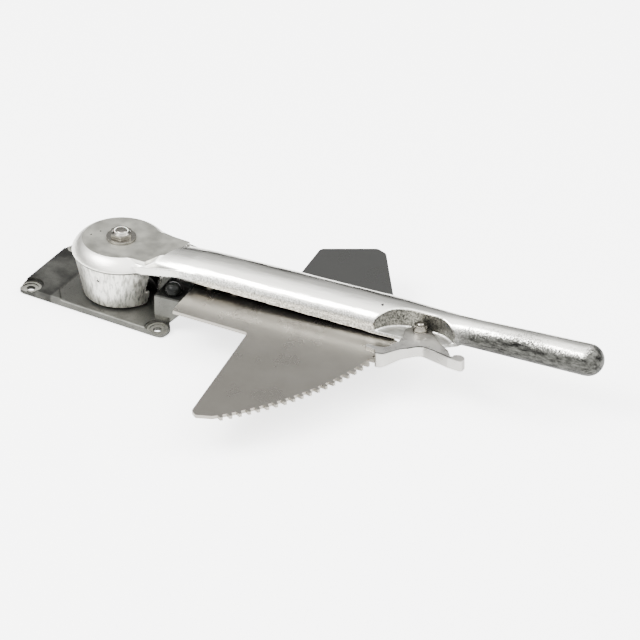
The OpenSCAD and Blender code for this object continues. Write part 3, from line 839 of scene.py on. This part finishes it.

# %% [markdown]
# ## The pawl
# The pawl is a small steel casting: a flat web round its pivot, and a tall front wall that sweeps
# from the claw to the hooked finger end. The wall is joined to the web and cast in fine cells, and then
# the holes are bored and a narrow groove is cut where the wall begins; the groove's faces are painted
# dark with the grey cast finish, as painted shade.
# %% Pawl: web, wall and claw
PAWL_LOW, PAWL_HIGH = 31.5, 44.15
web = rounded([
    (238.5, -48.5, 1.6), (239.6, -44.2, 1.6), (247, -45.5, 3), (255, -43.5, 5), (260.4, -33, 8),
    (260.4, -24, 8), (257.2, -13.5, 3), (261.5, -3.4, 5), (275, -3.2, 5), (284, -12.6, 6), (292, -20.4, 8),
    (301.7, -26.7, 2),
    (306.5, -33.2, 0), (304, -35.2, 0), (292, -31.8, 8), (279.4, -28.3, 8), (264.8, -41.8, 12),
    (257.4, -53.2, 6), (251.5, -54.6, 1.5), (248.5, -50.5, 3)])
wall_outline = rounded([
    (249.6, -51.5, 1), (251, -56.6, 2), (258, -55.2, 6), (266, -43.2, 12), (279, -30.4, 8), (292, -33.6, 8),
    (306, -37.4, 8), (318.8, -38.8, 2.5), (319.2, -31.4, 4), (313.6, -28.6, 3), (308.8, -30.8, 2),
    (308.4, -33.8, 0.5), (304, -33.6, 4), (292, -30, 8), (279.6, -26, 8), (263.6, -40.6, 12),
    (256.4, -51.4, 4)])
pawl = plate("pawl_casting", web, 40.15, PAWL_HIGH)
wall = plate("wall", wall_outline, PAWL_LOW, PAWL_HIGH)
relief = plate("relief", [(255, 29), (330, 29), (330, 34.5), (268, 34.5), (255, 31.5)], 0, 50)
relief.data.transform(Matrix.Translation((0, -20 * MM, 0)) @ Matrix.Rotation(math.radians(90), 4, "X"))
tidy_normals(relief)
combine(wall, relief, "DIFFERENCE")
combine(pawl, wall, "UNION")


def polar(radius, degrees):
    return radius * math.cos(math.radians(degrees)), radius * math.sin(math.radians(degrees))


TIP_R, ROOT_R, PITCH, FIRST = 254, 250, 1.8, -4.3
CLAW = FIRST - 3.5 * PITCH
claw = plate("claw", [
    polar(ROOT_R + 0.7, CLAW), polar(TIP_R + 0.6, CLAW - 0.12), polar(TIP_R + 2, CLAW - 1.5),
    polar(TIP_R + 5, CLAW - 1.7), polar(TIP_R + 6, CLAW + 0.6), polar(TIP_R + 0.6, CLAW + 0.56),
    polar(ROOT_R + 0.7, CLAW + 0.34)], PAWL_LOW, PAWL_HIGH - 1)
combine(pawl, claw, "UNION")
print("pawl forms joined:", len(pawl.data.vertices), "points")

# %% Pawl: cast, bore and groove
cast(pawl, 0.4, 3)
combine(pawl, rod("sleeve_bore", PAWL_X, PAWL_Y, 38, 50, 4.55, 48), "DIFFERENCE")
combine(pawl, rod("leg_hole", PAWL_X, PAWL_Y - 5.7, 39, 42.65, 1.7, 24), "DIFFERENCE")
front = rounded([(250, -55.6, 0), (257, -54.2, 5), (266, -42.6, 12), (279.5, -30.6, 8), (292, -32.6, 8),
                 (309, -37, 0)])
crease = plate("crease", [(x, y - 0.1) for x, y in front] + [(x, y + 0.9) for x, y in reversed(front)],
               PAWL_HIGH - 0.6, PAWL_HIGH + 1)
finish(pawl, "cast_steel")
# painted shade: the groove's faces take the grey cast finish, which is painted near black at this height
finish(crease, "cast_satin")
combine(pawl, crease, "DIFFERENCE", material_mode="TRANSFER")
turn_to_rest(pawl)
shade(pawl, 40)
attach(pawl, "locking_pawl")
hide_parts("pawl")
print("pawl:", triangles(pawl), "triangles")

# %% [markdown]
# ## Sheet and bought parts
# The quadrant, nuts, washers and screws already have their true shapes in the frame, but perfect
# corners look drawn. Each is copied, its loose triangles are merged back into whole faces, and a bevel
# breaks every edge by one to three tenths of a millimetre, as tumbling does.
# %% Broken edges
def broken_edges(node, width):
    """A copy of a CAD node with its sharp edges bevelled by width millimetres."""
    copy = nodes[node].copy()
    copy.data = nodes[node].data.copy()
    copy.name = copy.data.name = node + "_finished"
    for key in list(copy.keys()):
        del copy[key]
    copy.parent = None
    bpy.context.scene.collection.objects.link(copy)
    copy.hide_render = False
    pick(copy)
    bpy.ops.mesh.customdata_custom_splitnormals_clear()
    bpy.ops.object.mode_set(mode="EDIT")
    bpy.ops.mesh.select_all(action="SELECT")
    bpy.ops.mesh.remove_doubles(threshold=0.002 * MM)
    bpy.ops.mesh.dissolve_limited(angle_limit=math.radians(1))
    bpy.ops.object.mode_set(mode="OBJECT")
    apply_modifier(copy, "BEVEL", width=width * MM, segments=2, limit_method="ANGLE",
                   angle_limit=math.radians(30), harden_normals=False)
    shade(copy, 20)
    return copy


BROKEN_EDGES = {"quadrant_plate": 0.3, "pivot_washer": 0.25, "pivot_lock_nut": 0.2, "pivot_stud": 0.3,
                "pawl_nut": 0.2, "pawl_washer": 0.12, "rubber_bumper": 0.3}
for node, width in BROKEN_EDGES.items():
    piece = broken_edges(node, width)
    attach(piece, nodes[node]["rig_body"])
    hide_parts(node)
    print(piece.name, triangles(piece), "triangles")

# %% [markdown]
# ## Camera, floor and light
# A long lens keeps the parallels parallel, as in a catalogue picture.
# %% Camera and floor
AZIMUTH, ELEVATION = math.radians(31.9), math.radians(31.5)
back = Vector((math.sin(AZIMUTH) * math.cos(ELEVATION), -math.cos(AZIMUTH) * math.cos(ELEVATION),
               math.sin(ELEVATION)))
right = Vector((math.cos(AZIMUTH), math.sin(AZIMUTH), 0))
up = back.cross(right)
LENS, SENSOR, VIEW_WIDTH = 900, 36, 512
target = Vector((0, 0, HUB_TOP)) * MM + right * 159 * MM - up * 66 * MM
camera_data = bpy.data.cameras.new("camera")
camera_data.lens = LENS
camera_data.sensor_width = SENSOR
camera_data.clip_end = 40
camera = bpy.data.objects.new("camera", camera_data)
bpy.context.scene.collection.objects.link(camera)
camera.location = target + back * (VIEW_WIDTH * MM * LENS / SENSOR)
camera.rotation_mode = "QUATERNION"
camera.rotation_quaternion = (-back).to_track_quat("-Z", "Y")
bpy.context.scene.camera = camera

bpy.ops.object.select_all(action="DESELECT")
bpy.ops.mesh.primitive_plane_add(size=12, location=(0, 0, -0.0005))
floor = bpy.context.object
floor.name = "floor"
matt_white = {"Base Color": colour("F7F7F6"), "Roughness": 0.9}
paper, tree, surface, place = new_finish("white_paper_sweep", matt_white)
bump(tree, surface, grain(tree, place, 1.5), 0.01, 0.3)
surface.inputs["Emission Color"].default_value = colour("FFFFFF")
glow = add(tree, "Math", {0: add(tree, "LightPath").outputs["Is Camera Ray"], 1: 2.6}, operation="MULTIPLY")
link(tree, glow.outputs[0], surface, "Emission Strength")
floor.data.materials.append(paper)

# %% [markdown]
# ### Light
# Polished metal shows what is round it more than it shows itself. The set is a white tent: a bright
# overhead sheet and a pale floor, with a dark band near the horizon, as in a room beyond the tent's
# edge. Tops then read white and sides read grey, so round forms keep their shape.
# %% Light
world = bpy.data.worlds.new("studio")
bpy.context.scene.world = world
world.use_nodes = True
sky = world.node_tree
backdrop = sky.nodes["Background"]
way = add(sky, "TexCoord").outputs["Generated"]
room = spread(sky, add(sky, "SeparateXYZ", {"Vector": way}).outputs["Z"], 0.1, 0.52, 0.03, 0.8)
sheet = add(sky, "VectorMath", {0: way, 1: (0.22, -0.36, 0.91)}, operation="DOT_PRODUCT").outputs["Value"]
overhead = spread(sky, sheet, 0.2, 0.88, 0, 3.8)
tent = add(sky, "Math", {0: room, 1: overhead}, operation="ADD").outputs[0]
seen = add(sky, "LightPath").outputs["Is Camera Ray"]
sky.links.new(add(sky, "Mix", {"Factor": seen, 2: tent, 3: 8.0}).outputs[0], backdrop.inputs["Strength"])
backdrop.inputs["Color"].default_value = (1, 1, 1, 1)


def softbox(name, place, size, power):
    light = bpy.data.lights.new(name, "AREA")
    light.shape = "RECTANGLE"
    light.size, light.size_y = size
    light.energy = power
    obj = bpy.data.objects.new(name, light)
    bpy.context.scene.collection.objects.link(obj)
    obj.location = place
    obj.rotation_mode = "QUATERNION"
    obj.rotation_quaternion = (Vector((0.15, 0, 0.03)) - Vector(place)).to_track_quat("-Z", "Y")


softbox("key", (-0.6, -0.9, 1.6), (1.2, 0.8), 60)
softbox("fill", (1.2, 0.6, 1.2), (1.0, 1.0), 20)
